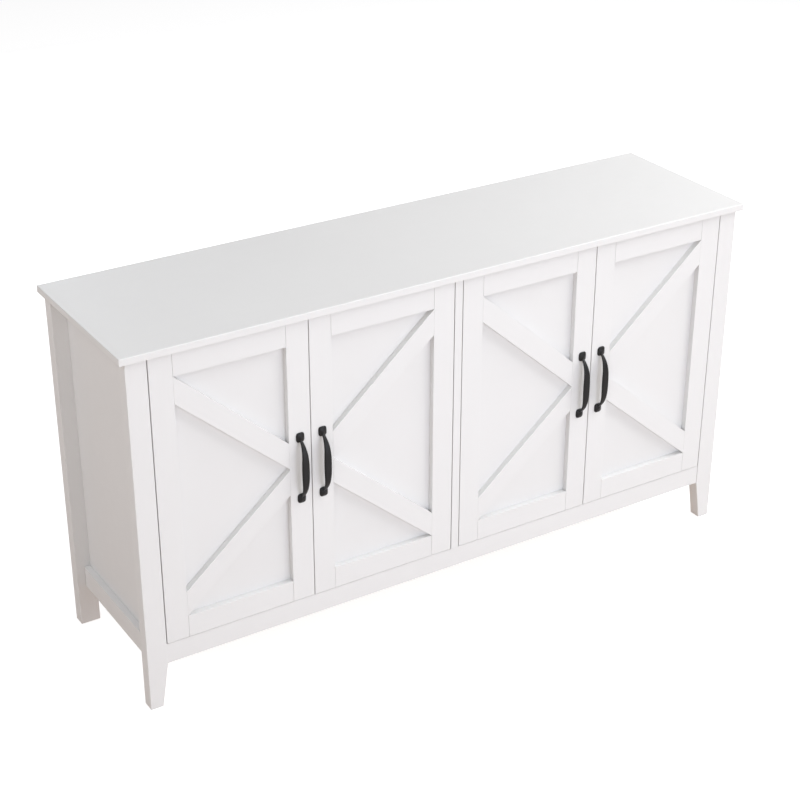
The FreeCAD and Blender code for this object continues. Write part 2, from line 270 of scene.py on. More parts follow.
# ------------------------------------------------------------------ node work
class NodeDesk:
    """Shorthand for putting nodes on one tree and joining their sockets.

    A mix node has one set of sockets for each kind of value, all with the same names, so
    the share, the two colours and the mixed colour go by their places.
    """

    MIX_INPUTS = (0, 6, 7)
    MIX_OUTPUT = 2

    def __init__(self, tree: bpy.types.NodeTree) -> None:
        """Keep the tree that the nodes go on."""
        self.tree = tree

    def node(self, kind: str, settings: dict | None = None,
             **inputs: SocketValue) -> bpy.types.Node:
        """Add a node.

        Args:
            kind: Blender's name of the node type.
            settings: Properties of the node.
            **inputs: Values or sockets for named inputs, with _ for a space.

        Returns:
            The new node.
        """
        made = self.tree.nodes.new(kind)
        for key, value in (settings or {}).items():
            setattr(made, key, value)
        for key, value in inputs.items():
            self.feed(made.inputs[key.replace("_", " ")], value)
        return made

    def feed(self, target: bpy.types.NodeSocket, value: SocketValue) -> None:
        """Join a socket to the target, or set the target's own value.

        Args:
            target: Input socket.
            value: Output socket to join, or the value to set.
        """
        if isinstance(value, bpy.types.NodeSocket):
            self.tree.links.new(value, target)
        else:
            target.default_value = value

    def maths(self, operation: str, first: SocketValue, second: SocketValue) -> bpy.types.NodeSocket:
        """Result of an operation on two numbers.

        Args:
            operation: Blender's name of the operation.
            first: Value or socket on its left.
            second: Value or socket on its right.

        Returns:
            The result's socket.
        """
        made = self.node("ShaderNodeMath", {"operation": operation})
        self.feed(made.inputs[0], first)
        self.feed(made.inputs[1], second)
        return made.outputs[0]

    def spread(self, value: SocketValue, low: float, high: float,
               to_low: float = 0.0, to_high: float = 1.0) -> bpy.types.NodeSocket:
        """Value moved from one range to another and held inside it."""
        made = self.node("ShaderNodeMapRange", {"clamp": True}, Value=value, From_Min=low,
                         From_Max=high, To_Min=to_low, To_Max=to_high)
        return made.outputs["Result"]

    def blend(self, share: SocketValue, first: SocketValue, second: SocketValue) -> bpy.types.NodeSocket:
        """Colour between two colours.

        Args:
            share: Share of the second colour.
            first: First colour or its socket.
            second: Second colour or its socket.

        Returns:
            The mixed colour's socket.
        """
        made = self.node("ShaderNodeMix", {"data_type": "RGBA"})
        for number, value in zip(self.MIX_INPUTS, (share, first, second)):
            self.feed(made.inputs[number], value)
        return made.outputs[self.MIX_OUTPUT]

    def noise(self, vector: bpy.types.NodeSocket, scale: SocketValue, detail: float = 3.0,
              rough: float = 0.55) -> bpy.types.NodeSocket:
        """Height of a noise pattern, from 0 to 1."""
        made = self.node("ShaderNodeTexNoise", None, Vector=vector, Scale=scale, Detail=detail,
                         Roughness=rough)
        return made.outputs["Fac"]

    def stretch(self, vector: bpy.types.NodeSocket, scale: Place) -> bpy.types.NodeSocket:
        """Coordinates scaled by a different amount on each axis."""
        made = self.node("ShaderNodeMapping", None, Vector=vector, Scale=scale)
        return made.outputs["Vector"]


GroupParts = tuple[bpy.types.NodeTree, NodeDesk, bpy.types.Node, bpy.types.Node]


def opaque(colour: Colour) -> tuple[float, float, float, float]:
    """Colour with a full alpha."""
    return (*colour, 1.0)


def effect_group(name: str, inputs: dict[str, float | None], outputs: Sequence[str]) -> GroupParts:
    """Empty shader node group with named sockets.

    Args:
        name: Name of the group.
        inputs: Name and first value of each input; None makes a vector input.
        outputs: Name of each number that it puts out.

    Returns:
        The group, a desk for it, and its input and output nodes.
    """
    group = bpy.data.node_groups.new(name, "ShaderNodeTree")
    for label, value in inputs.items():
        kind = "NodeSocketVector" if value is None else "NodeSocketFloat"
        socket = group.interface.new_socket(name=label, in_out="INPUT", socket_type=kind)
        if value is not None:
            socket.default_value = value
    for label in outputs:
        group.interface.new_socket(name=label, in_out="OUTPUT", socket_type="NodeSocketFloat")
    desk = NodeDesk(group)
    return group, desk, group.nodes.new("NodeGroupInput"), group.nodes.new("NodeGroupOutput")


class Effects:
    """Shader node groups that several finishes share, each built once."""

    def __init__(self) -> None:
        """Build every group."""
        self.paint_film = self._paint_film()
        self.edge_rub = self._edge_rub()
        self.corner_dust_and_shade = self._corner_dust_and_shade()
        self.board_pores = self._board_pores()
        self.drawn_metal = self._drawn_metal()

    @staticmethod
    def _paint_film() -> bpy.types.NodeTree:
        """Sprayed paint over a sanded ground.

        Height adds long faint grain streaks to a fine orange peel, tone is a slow cloud
        with the streaks in it, and gloss follows a second, finer cloud.

        Returns:
            The group, which puts out Tone, Gloss and Height.
        """
        streak_stretch, cloud_size, gloss_size = (1.0, 1.0, 0.03), 3.1, 34.0
        group, desk, given, result = effect_group(
            "paint_film", {"Vector": None, "Peel Size": 420.0, "Streak Size": 170.0, "Streak Share": 0.4},
            ("Tone", "Gloss", "Height"))
        vector, share = given.outputs["Vector"], given.outputs["Streak Share"]
        streaks = desk.noise(desk.stretch(vector, streak_stretch), given.outputs["Streak Size"], 5.0, 0.6)
        peel = desk.noise(vector, given.outputs["Peel Size"], 2.0)
        cloud = desk.noise(vector, cloud_size)
        gloss = desk.noise(vector, gloss_size, 4.0)
        rest = desk.maths("SUBTRACT", 1.0, share)
        streaked = desk.maths("MULTIPLY", streaks, share)
        height = desk.maths("ADD", streaked, desk.maths("MULTIPLY", peel, rest))
        tone = desk.maths("ADD", streaked, desk.maths("MULTIPLY", cloud, rest))
        desk.feed(result.inputs["Tone"], desk.spread(tone, 0.3, 0.7))
        desk.feed(result.inputs["Gloss"], desk.spread(gloss, 0.3, 0.7))
        desk.feed(result.inputs["Height"], height)
        return group

    @staticmethod
    def _edge_rub() -> bpy.types.NodeTree:
        """Mask of rubbed edges.

        Where the normal rounded over a small radius leans away from the true one, the
        surface is near an edge; a broken-up noise keeps the rub from being even.

        Returns:
            The group, which puts out Mask.
        """
        group, desk, given, result = effect_group(
            "edge_rub", {"Vector": None, "Radius": 0.0015, "Break Size": 60.0}, ("Mask",))
        rounded = desk.node("ShaderNodeBevel", {"samples": 4}, Radius=given.outputs["Radius"])
        true = desk.node("ShaderNodeNewGeometry")
        lean = desk.node("ShaderNodeVectorMath", {"operation": "DOT_PRODUCT"})
        desk.feed(lean.inputs[0], rounded.outputs["Normal"])
        desk.feed(lean.inputs[1], true.outputs["Normal"])
        edge = desk.spread(lean.outputs["Value"], 0.97, 0.80)
        broken = desk.noise(given.outputs["Vector"], given.outputs["Break Size"], 5.0)
        patches = desk.spread(broken, 0.42, 0.66)
        desk.feed(result.inputs["Mask"], desk.maths("MULTIPLY", edge, patches))
        return group

    @staticmethod
    def _corner_dust_and_shade() -> bpy.types.NodeTree:
        """Mask of joints, gaps and inner corners: painted shade on the white finishes, settled dust on the
        black coat.

        One minus the share of open sky within a short reach, thinned by a noise.

        Returns:
            The group, which puts out Mask.
        """
        group, desk, given, result = effect_group(
            "corner_dust_and_shade", {"Vector": None, "Reach": 0.003, "Break Size": 45.0}, ("Mask",))
        # ambient occlusion read as a colour mask: where it darkens a finish it is painted shade
        open_sky = desk.node("ShaderNodeAmbientOcclusion", {"samples": 6}, Distance=given.outputs["Reach"])
        closed = desk.spread(open_sky.outputs["AO"], 0.55, 0.05)
        broken = desk.noise(given.outputs["Vector"], given.outputs["Break Size"])
        patches = desk.spread(broken, 0.2, 0.8, 0.55)
        desk.feed(result.inputs["Mask"], desk.maths("MULTIPLY", closed, patches))
        return group

    @staticmethod
    def _board_pores() -> bpy.types.NodeTree:
        """Pressed wood pores: a noise drawn out along Z and cut off to short dark dashes.

        Returns:
            The group, which puts out Mask and Height.
        """
        dash_stretch, band_stretch, band_size = (1.0, 1.0, 0.06), (1.0, 1.0, 0.05), 40.0
        group, desk, given, result = effect_group(
            "board_pores", {"Vector": None, "Pore Size": 900.0}, ("Mask", "Height"))
        drawn = desk.stretch(given.outputs["Vector"], dash_stretch)
        dashes = desk.noise(drawn, given.outputs["Pore Size"], 2.0)
        bands = desk.noise(desk.stretch(given.outputs["Vector"], band_stretch), band_size)
        mask = desk.maths("MULTIPLY", desk.spread(dashes, 0.52, 0.66), desk.spread(bands, 0.4, 0.62, 0.2))
        desk.feed(result.inputs["Mask"], mask)
        desk.feed(result.inputs["Height"], desk.maths("SUBTRACT", 1.0, mask))
        return group

    @staticmethod
    def _drawn_metal() -> bpy.types.NodeTree:
        """Rolled or drawn metal: very long scratches along Z over a faint stain.

        Returns:
            The group, which puts out Scratch and Stain.
        """
        scratch_stretch, stain_size = (1.0, 1.0, 0.02), 120.0
        group, desk, given, result = effect_group(
            "drawn_metal", {"Vector": None, "Scratch Size": 1500.0}, ("Scratch", "Stain"))
        drawn = desk.stretch(given.outputs["Vector"], scratch_stretch)
        scratch = desk.noise(drawn, given.outputs["Scratch Size"], 4.0, 0.7)
        stain = desk.noise(given.outputs["Vector"], stain_size, 4.0)
        desk.feed(result.inputs["Scratch"], desk.spread(scratch, 0.3, 0.7))
        desk.feed(result.inputs["Stain"], desk.spread(stain, 0.35, 0.7))
        return group


# ------------------------------------------------------------------ finishes
BRACE_TILT = math.radians(49.65)


class Run(Enum):
    """Way that a piece's grain runs, as the turn that brings it upright."""

    UPRIGHT = (0.0, 0.0, 0.0)
    LENGTHWISE = (0.0, math.pi / 2, 0.0)
    DEEP = (math.pi / 2, 0.0, 0.0)
    RISING = (0.0, -BRACE_TILT, 0.0)
    FALLING = (0.0, BRACE_TILT, 0.0)


@dataclass(frozen=True)
class Finish:
    """Part of a finish that all of them share."""

    name: str
    colour: Colour
    roughness: float

    def start(self, run: Run) -> tuple[bpy.types.Material, NodeDesk, bpy.types.Node,
                                       bpy.types.NodeSocket]:
        """Make an empty material with its shader and turned object coordinates.

        Args:
            run: Way that the grain runs.

        Returns:
            Material, desk, shader node and the coordinates' socket.
        """
        material = bpy.data.materials.new(f"{self.name}_{run.name.lower()}")
        material.use_nodes = True
        material.node_tree.nodes.clear()
        desk = NodeDesk(material.node_tree)
        shader = desk.node("ShaderNodeBsdfPrincipled", None, Roughness=self.roughness)
        desk.feed(shader.inputs["Base Color"], opaque(self.colour))
        output = desk.node("ShaderNodeOutputMaterial")
        desk.feed(output.inputs["Surface"], shader.outputs["BSDF"])
        place = desk.node("ShaderNodeTexCoord")
        turned = desk.node("ShaderNodeMapping", None, Vector=place.outputs["Object"], Rotation=run.value)
        return material, desk, shader, turned.outputs["Vector"]

    @staticmethod
    def effect(desk: NodeDesk, group: bpy.types.NodeTree, **inputs: SocketValue) -> bpy.types.Node:
        """Place a shared effect in a material with its own values.

        Args:
            desk: Desk of the material.
            group: The effect's node group.
            **inputs: Values or sockets for its inputs, with _ for a space.

        Returns:
            The group's node.
        """
        made = desk.node("ShaderNodeGroup", {"node_tree": group})
        for key, value in inputs.items():
            desk.feed(made.inputs[key.replace("_", " ")], value)
        return made

    @staticmethod
    def bump(desk: NodeDesk, shader: bpy.types.Node, height: bpy.types.NodeSocket, depth: float) -> None:
        """Give the shader a normal from a height in metres."""
        made = desk.node("ShaderNodeBump", None, Height=height, Strength=1.0, Distance=depth)
        desk.feed(shader.inputs["Normal"], made.outputs["Normal"])

    def gloss(self, desk: NodeDesk, shader: bpy.types.Node, share: bpy.types.NodeSocket,
              swing: tuple[float, float]) -> None:
        """Let the shader's roughness swing about the finish's own with a share from 0 to 1."""
        rough = desk.spread(share, 0.0, 1.0, self.roughness + swing[0], self.roughness + swing[1])
        desk.feed(shader.inputs["Roughness"], rough)


@dataclass(frozen=True)
class PaintFinish(Finish):
    """Satin white paint on timber or board."""

    shade: Colour = (0.722, 0.718, 0.715)
    undercoat: Colour = (0.64, 0.61, 0.56)
    # grey that joints, gaps and inner corners are darkened towards: painted shade
    corner_shade: Colour = (0.40, 0.385, 0.36)
    streak_share: float = 0.45
    tone_share: float = 0.30
    rub_share: float = 0.22
    corner_shade_share: float = 0.22
    film_depth: float = 0.06 * MM
    gloss_swing: tuple[float, float] = (-0.05, 0.07)

    def make(self, effects: Effects, run: Run) -> bpy.types.Material:
        """Build the material for one way of the grain.

        Args:
            effects: Shared node groups.
            run: Way that the grain runs.

        Returns:
            The material.
        """
        material, desk, shader, vector = self.start(run)
        film = self.effect(desk, effects.paint_film, Vector=vector, Streak_Share=self.streak_share)
        rub = self.effect(desk, effects.edge_rub, Vector=vector)
        dust_and_shade = self.effect(desk, effects.corner_dust_and_shade, Vector=vector)
        tone = desk.maths("MULTIPLY", film.outputs["Tone"], self.tone_share)
        colour = desk.blend(tone, opaque(self.colour), opaque(self.shade))
        rubbed = desk.maths("MULTIPLY", rub.outputs["Mask"], self.rub_share)
        colour = desk.blend(rubbed, colour, opaque(self.undercoat))
        # painted shade: occluded joints, gaps and corners mixed towards the grey
        corner_shaded = desk.maths("MULTIPLY", dust_and_shade.outputs["Mask"], self.corner_shade_share)
        colour = desk.blend(corner_shaded, colour, opaque(self.corner_shade))
        desk.feed(shader.inputs["Base Color"], colour)
        self.gloss(desk, shader, film.outputs["Gloss"], self.gloss_swing)
        self.bump(desk, shader, film.outputs["Height"], self.film_depth)
        return material


@dataclass(frozen=True)
class FacedBoardFinish(Finish):
    """White faced board with pressed pores."""

    pore: Colour = (0.60, 0.59, 0.56)
    # grey that inner corners and joints are darkened towards: painted shade
    corner_shade: Colour = (0.40, 0.38, 0.34)
    pore_share: float = 0.35
    pore_depth: float = 0.08 * MM
    corner_shade_reach: float = 12.0 * MM
    corner_shade_share: float = 0.5
    gloss_swing: tuple[float, float] = (0.0, 0.15)

    def make(self, effects: Effects, run: Run) -> bpy.types.Material:
        """Build the material for one way of the grain.

        Args:
            effects: Shared node groups.
            run: Way that the grain runs.

        Returns:
            The material.
        """
        material, desk, shader, vector = self.start(run)
        pores = self.effect(desk, effects.board_pores, Vector=vector)
        dust_and_shade = self.effect(desk, effects.corner_dust_and_shade, Vector=vector, Reach=self.corner_shade_reach)
        dark = desk.maths("MULTIPLY", pores.outputs["Mask"], self.pore_share)
        colour = desk.blend(dark, opaque(self.colour), opaque(self.pore))
        # painted shade: occluded corners and joints mixed towards the grey
        corner_shaded = desk.maths("MULTIPLY", dust_and_shade.outputs["Mask"], self.corner_shade_share)
        desk.feed(shader.inputs["Base Color"], desk.blend(corner_shaded, colour, opaque(self.corner_shade)))
        self.gloss(desk, shader, pores.outputs["Mask"], self.gloss_swing)
        self.bump(desk, shader, pores.outputs["Height"], self.pore_depth)
        return material


@dataclass(frozen=True)
class BareWoodFinish(Finish):
    """Unpainted beech or raw fibre board."""

    dark: Colour = (0.42, 0.27, 0.15)
    pore_size: float = 1400.0
    pore_depth: float = 0.1 * MM
    streak_size: float = 300.0
    streak_share: float = 0.8
    grain_share: float = 0.35
    gloss_swing: tuple[float, float] = (-0.08, 0.08)

    def make(self, effects: Effects, run: Run) -> bpy.types.Material:
        """Build the material for one way of the grain.

        Args:
            effects: Shared node groups.
            run: Way that the grain runs.

        Returns:
            The material.
        """
        material, desk, shader, vector = self.start(run)
        pores = self.effect(desk, effects.board_pores, Vector=vector, Pore_Size=self.pore_size)
        film = self.effect(desk, effects.paint_film, Vector=vector, Streak_Share=self.streak_share,
                           Streak_Size=self.streak_size)
        both = desk.maths("ADD", pores.outputs["Mask"], film.outputs["Tone"])
        grain = desk.maths("MULTIPLY", both, self.grain_share)
        desk.feed(shader.inputs["Base Color"], desk.blend(grain, opaque(self.colour), opaque(self.dark)))
        self.gloss(desk, shader, film.outputs["Gloss"], self.gloss_swing)
        self.bump(desk, shader, pores.outputs["Height"], self.pore_depth)
        return material


@dataclass(frozen=True)
class BlackCoatFinish(Finish):
    """Satin black coat on cast metal, thin on the high edges."""

    worn: Colour = (0.055, 0.053, 0.052)
    dust_and_shade: Colour = (0.05, 0.048, 0.046)
    sheen: float = 0.28
    peel_size: float = 1300.0
    streak_share: float = 0.12
    film_depth: float = 0.12 * MM
    rub_radius: float = 0.9 * MM
    rub_size: float = 210.0
    rub_share: float = 0.8
    bare_share: float = 0.5
    dust_reach: float = 4.0 * MM
    dust_size: float = 160.0
    dust_share: float = 0.35
    gloss_swing: tuple[float, float] = (-0.06, 0.1)

    def make(self, effects: Effects, run: Run) -> bpy.types.Material:
        """Build the material for one way of the casting's length.

        Args:
            effects: Shared node groups.
            run: Way that the casting lies.

        Returns:
            The material.
        """
        material, desk, shader, vector = self.start(run)
        shader.inputs["Specular IOR Level"].default_value = self.sheen
        film = self.effect(desk, effects.paint_film, Vector=vector, Peel_Size=self.peel_size,
                           Streak_Share=self.streak_share)
        rub = self.effect(desk, effects.edge_rub, Vector=vector, Radius=self.rub_radius,
                          Break_Size=self.rub_size)
        dust_and_shade = self.effect(desk, effects.corner_dust_and_shade, Vector=vector, Reach=self.dust_reach,
                           Break_Size=self.dust_size)
        worn = desk.maths("MULTIPLY", rub.outputs["Mask"], self.rub_share)
        colour = desk.blend(worn, opaque(self.colour), opaque(self.worn))
        dusty = desk.maths("MULTIPLY", dust_and_shade.outputs["Mask"], self.dust_share)
        desk.feed(shader.inputs["Base Color"], desk.blend(dusty, colour, opaque(self.dust_and_shade)))
        self.gloss(desk, shader, film.outputs["Gloss"], self.gloss_swing)
        desk.feed(shader.inputs["Metallic"], desk.maths("MULTIPLY", worn, self.bare_share))
        self.bump(desk, shader, film.outputs["Height"], self.film_depth)
        return material


@dataclass(frozen=True)
class PlatedFinish(Finish):
    """Nickel or zinc plated steel."""

    stain: Colour = (0.42, 0.40, 0.37)
    bright: Colour = (0.85, 0.84, 0.82)
    stain_share: float = 0.4
    rub_radius: float = 0.6 * MM
    rub_size: float = 300.0
    scratch_depth: float = 0.02 * MM
    gloss_swing: tuple[float, float] = (-0.08, 0.12)

    def make(self, effects: Effects, run: Run) -> bpy.types.Material:
        """Build the material for one way of the rolling marks.

        Args:
            effects: Shared node groups.
            run: Way that the marks run.

        Returns:
            The material.
        """
        material, desk, shader, vector = self.start(run)
        metal = self.effect(desk, effects.drawn_metal, Vector=vector)
        rub = self.effect(desk, effects.edge_rub, Vector=vector, Radius=self.rub_radius,
                          Break_Size=self.rub_size)
        stained = desk.maths("MULTIPLY", metal.outputs["Stain"], self.stain_share)
        colour = desk.blend(stained, opaque(self.colour), opaque(self.stain))
        desk.feed(shader.inputs["Base Color"], desk.blend(rub.outputs["Mask"], colour, opaque(self.bright)))
        self.gloss(desk, shader, metal.outputs["Scratch"], self.gloss_swing)
        shader.inputs["Metallic"].default_value = 1.0
        self.bump(desk, shader, metal.outputs["Scratch"], self.scratch_depth)
        return material


class Finishes:
    """All finishes of the sideboard, each material made once for each way of its grain."""

    def __init__(self) -> None:
        """Name the finishes after the record's material slots."""
        self.effects = Effects()
        self.kinds = {
            "painted_top": PaintFinish("painted_top", (0.772, 0.770, 0.765), 0.40, streak_share=0.3),
            "painted_frame": PaintFinish("painted_frame", (0.772, 0.770, 0.767), 0.42),
            "painted_panel": PaintFinish("painted_panel", (0.767, 0.765, 0.762), 0.45, streak_share=0.15),
            "faced_board": FacedBoardFinish("faced_board", (0.78, 0.78, 0.76), 0.38),
            "back_hardboard": FacedBoardFinish("back_hardboard", (0.70, 0.69, 0.66), 0.55, pore_share=0.2),
            "black_metal": BlackCoatFinish("black_metal", (0.012, 0.012, 0.0125), 0.42),
            "hinge_steel": PlatedFinish("hinge_steel", (0.66, 0.65, 0.62), 0.28),
            "steel_screw": PlatedFinish("steel_screw", (0.70, 0.70, 0.69), 0.32),
            "dowel_wood": BareWoodFinish("dowel_wood", (0.62, 0.45, 0.28), 0.6),
        }
        self.made: dict[tuple[str, Run], bpy.types.Material] = {}

    def get(self, slot: str, run: Run = Run.UPRIGHT) -> bpy.types.Material:
        """Material of a slot with its grain running one way.

        Args:
            slot: Material slot of the record.
            run: Way that the grain runs.

        Returns:
            The material, made when it is first asked for.
        """
        key = (slot, run)
        if key not in self.made:
            self.made[key] = self.kinds[slot].make(self.effects, run)
        return self.made[key]


# ------------------------------------------------------------------ putting pieces in
@dataclass
class Workshop:
    """Puts finished pieces in the frame and dresses them."""

    finishes: Finishes
    weld_distance: float = 1e-6
    flat_angle: float = math.radians(1.0)
    edge_angle: float = math.radians(50.0)
    ease_segments: int = 3

    def fit(self, mesh: bpy.types.Mesh, body: str, slot: str, run: Run, stands_for: Sequence[str],
            smooth: float | None = None) -> bpy.types.Object:
        """Make a piece that rides on a body and stands for CAD nodes.

        Args:
            mesh: The piece's mesh, in place in the frame.
            body: Body that it rides on.
            slot: Material slot of the record.
            run: Way that its grain runs.
            stands_for: CAD nodes that it replaces.
            smooth: Angle in degrees below which faces are shaded as one surface.

        Returns:
            The new object.
        """
        piece = bpy.data.objects.new(mesh.name, mesh)
        bpy.context.scene.collection.objects.link(piece)
        mesh.materials.append(self.finishes.get(slot, run))
        if smooth is not None:
            mesh.shade_smooth()
            mesh.set_sharp_from_angle(angle=math.radians(smooth))
        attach(piece, body)
        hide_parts(*stands_for)
        log.info("%s: %d faces on %s", piece.name, len(mesh.polygons), body)
        return piece

    def dress(self, node: str, slot: str, run: Run, ease: float = 0.0) -> None:
        """Give a CAD node its finish, and ease its edges without touching its mesh.

        Args:
            node: Name of the CAD node.
            slot: Material slot of the record.
            run: Way that its grain runs.
            ease: Radius of the eased edges, or zero for none.
        """
        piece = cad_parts[node]
        piece.data.materials.clear()
        piece.data.materials.append(self.finishes.get(slot, run))
        if ease:
            weld = piece.modifiers.new("weld", "WELD")
            weld.merge_threshold = self.weld_distance
            flat = piece.modifiers.new("flat", "DECIMATE")
            flat.decimate_type = "DISSOLVE"
            flat.angle_limit = self.flat_angle
            round_off = piece.modifiers.new("ease", "BEVEL")
            round_off.width = ease
            round_off.segments = self.ease_segments
            round_off.limit_method = "ANGLE"
            round_off.angle_limit = self.edge_angle
            round_off.use_clamp_overlap = False
        log.info("%s: dressed in %s", node, slot)


def rectangle(first: tuple[float, float], second: tuple[float, float]) -> list[tuple[float, float]]:
    """Corners of a rectangle between two values on each of two axes."""
    return [(first[0], second[0]), (first[1], second[0]), (first[1], second[1]), (first[0], second[1])]


def node_points(node: str) -> Array:
    """Points of a CAD node's mesh.

    Args:
        node: Name of the CAD node.

    Returns:
        One row for each point.
    """
    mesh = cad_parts[node].data
    flat = np.empty(len(mesh.vertices) * 3, np.float32)
    mesh.vertices.foreach_get("co", flat)
    return flat.reshape(-1, 3).astype(float)


def plain_bar(name: str, node: str, axis: int, ease: float,
              radii: float | Sequence[float] | None = None) -> bpy.types.Mesh:
    """Eased bar that fills a CAD node's box.

    Args:
        name: Name of the mesh.
        node: Name of the CAD node.
        axis: Direction of the bar.
        ease: Radius of the end edges, and of the long edges if radii isn't given.
        radii: Radius of each long edge.

    Returns:
        The bar's mesh.
    """
    low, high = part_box(node)
    one, two = (axis + 1) % 3, (axis + 2) % 3
    corners = rectangle((low[one], high[one]), (low[two], high[two]))
    return eased_bar(name, axis, (low[axis], high[axis]), corners, ease, radii)


# ------------------------------------------------------------------ carcass
@dataclass
class Carcass:
    """Top, legs, rails, panels, boards and shelves: all that stands still."""

    shop: Workshop
    top_round: float = 1.5 * MM
    top_arris: float = 0.8 * MM
    leg_ease: float = 1.0 * MM
    rail_ease: float = 0.7 * MM
    panel_ease: float = 0.5 * MM
    sheet_ease: float = 0.3 * MM
    body: str = "carcass"

    def build(self) -> None:
        """Build and dress every piece of the carcass."""
        self.build_top()
        for side in ("left", "right"):
            self.build_front_leg(side)
            self.build_rear_leg(side)
            self.build_side(side)
        self.build_rails()
        self.dress_cad_pieces()

    def build_top(self) -> None:
        """Top board: a section in depth and height, rounder above than below, carried in width."""
        low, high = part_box("top_board")
        corners = rectangle((low.y, high.y), (low.z, high.z))
        radii = (self.top_arris, self.top_arris, self.top_round, self.top_round)
        mesh = eased_bar("top_board.planed", X, (low.x, high.x), corners, self.top_round * 0.8, radii)
        self.shop.fit(mesh, self.body, "painted_top", Run.LENGTHWISE, ["top_board"])

    def build_front_leg(self, side: str) -> None:
        """Front leg: its front outline, with the inner taper of the foot, carried in depth.

        Args:
            side: "left" or "right".
        """
        node = f"front_{side}_leg"
        low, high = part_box(node)
        sole = node_points(node)
        sole = sole[sole[:, Z] < low.z + NEAR]
        foot_in, foot_out = sole[:, X].min(), sole[:, X].max()
        taper_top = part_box("front_bottom_rail")[0].z
        if side == "left":
            outline = [(low.x, low.z), (foot_out, low.z), (high.x, taper_top), (high.x, high.z),
                       (low.x, high.z)]
        else:
            outline = [(foot_in, low.z), (high.x, low.z), (high.x, high.z), (low.x, high.z),
                       (low.x, taper_top)]
        corners = [(z, x) for x, z in outline]
        mesh = eased_bar(f"{node}.planed", Y, (low.y, high.y), corners, self.leg_ease)
        self.shop.fit(mesh, self.body, "painted_frame", Run.UPRIGHT, [node])

    def build_rear_leg(self, side: str) -> None:
        """Rear leg: its plan carried upwards, notched for the back panel above the rail's underside.

        The rings of the full plan end at the notch, and those of the notched plan start there.

        Args:
            side: "left" or "right".
        """
        node = f"rear_{side}_leg"
        low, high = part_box(node)
        back_low, back_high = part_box(f"{side}_back_panel")
        if side == "left":
            inner, outer, lap = high.x, low.x, back_low.x
        else:
            inner, outer, lap = low.x, high.x, back_high.x
        full = [(outer, low.y), (inner, low.y), (inner, back_low.y), (inner, high.y), (lap, high.y),
                (outer, high.y)]
        notched = [(outer, low.y), (inner, low.y), (inner, back_low.y), (lap, back_low.y), (lap, high.y),
                   (outer, high.y)]
        ease = self.leg_ease
        lower, lower_normals = rounded_outline(full, (ease, ease, 0, ease, 0, ease))
        upper, upper_normals = rounded_outline(notched, (ease, ease, ease / 2, 0, ease / 2, ease))
        below = eased_rings(low.z, high.z, lower, lower_normals, ease)
        above = eased_rings(low.z, high.z, upper, upper_normals, ease)
        half = len(below) // 2
        rings = below[:half] + [(back_low.z, lower), (back_low.z, upper)] + above[half:]
        mesh = solid_mesh(f"{node}.planed", *carried_profile(Z, rings))
        self.shop.fit(mesh, self.body, "painted_frame", Run.UPRIGHT, [node])

    def build_side(self, side: str) -> None:
        """Side rail, back panel and shelf of one side.

        Args:
            side: "left" or "right".
        """
        rail = plain_bar(f"{side}_side_rail.planed", f"{side}_side_rail", Y, self.rail_ease)
        self.shop.fit(rail, self.body, "painted_frame", Run.DEEP, [f"{side}_side_rail"])
        back = plain_bar(f"{side}_back_panel.sheet", f"{side}_back_panel", Z, self.sheet_ease)
        self.shop.fit(back, self.body, "back_hardboard", Run.UPRIGHT, [f"{side}_back_panel"])
        shelf = plain_bar(f"{side}_shelf.board", f"{side}_shelf", X, self.panel_ease)
        self.shop.fit(shelf, self.body, "faced_board", Run.LENGTHWISE, [f"{side}_shelf"])

    def build_rails(self) -> None:
        """Front and rear bottom rails and the bottom board."""
        for node in ("front_bottom_rail", "rear_bottom_rail"):
            mesh = plain_bar(f"{node}.planed", node, X, self.rail_ease)
            self.shop.fit(mesh, self.body, "painted_frame", Run.LENGTHWISE, [node])
        board = plain_bar("bottom_board.board", "bottom_board", X, self.panel_ease)
        self.shop.fit(board, self.body, "faced_board", Run.LENGTHWISE, ["bottom_board"])

    def dress_cad_pieces(self) -> None:
        """Side panels and partition keep their drilled CAD shape; dowels are bare wood."""
        for side in ("left", "right"):
            self.shop.dress(f"{side}_side_panel", "painted_panel", Run.UPRIGHT, self.sheet_ease)
        self.shop.dress("centre_partition", "painted_frame", Run.UPRIGHT, self.sheet_ease)
        self.shop.dress("carcass_dowels", "dowel_wood", Run.UPRIGHT)


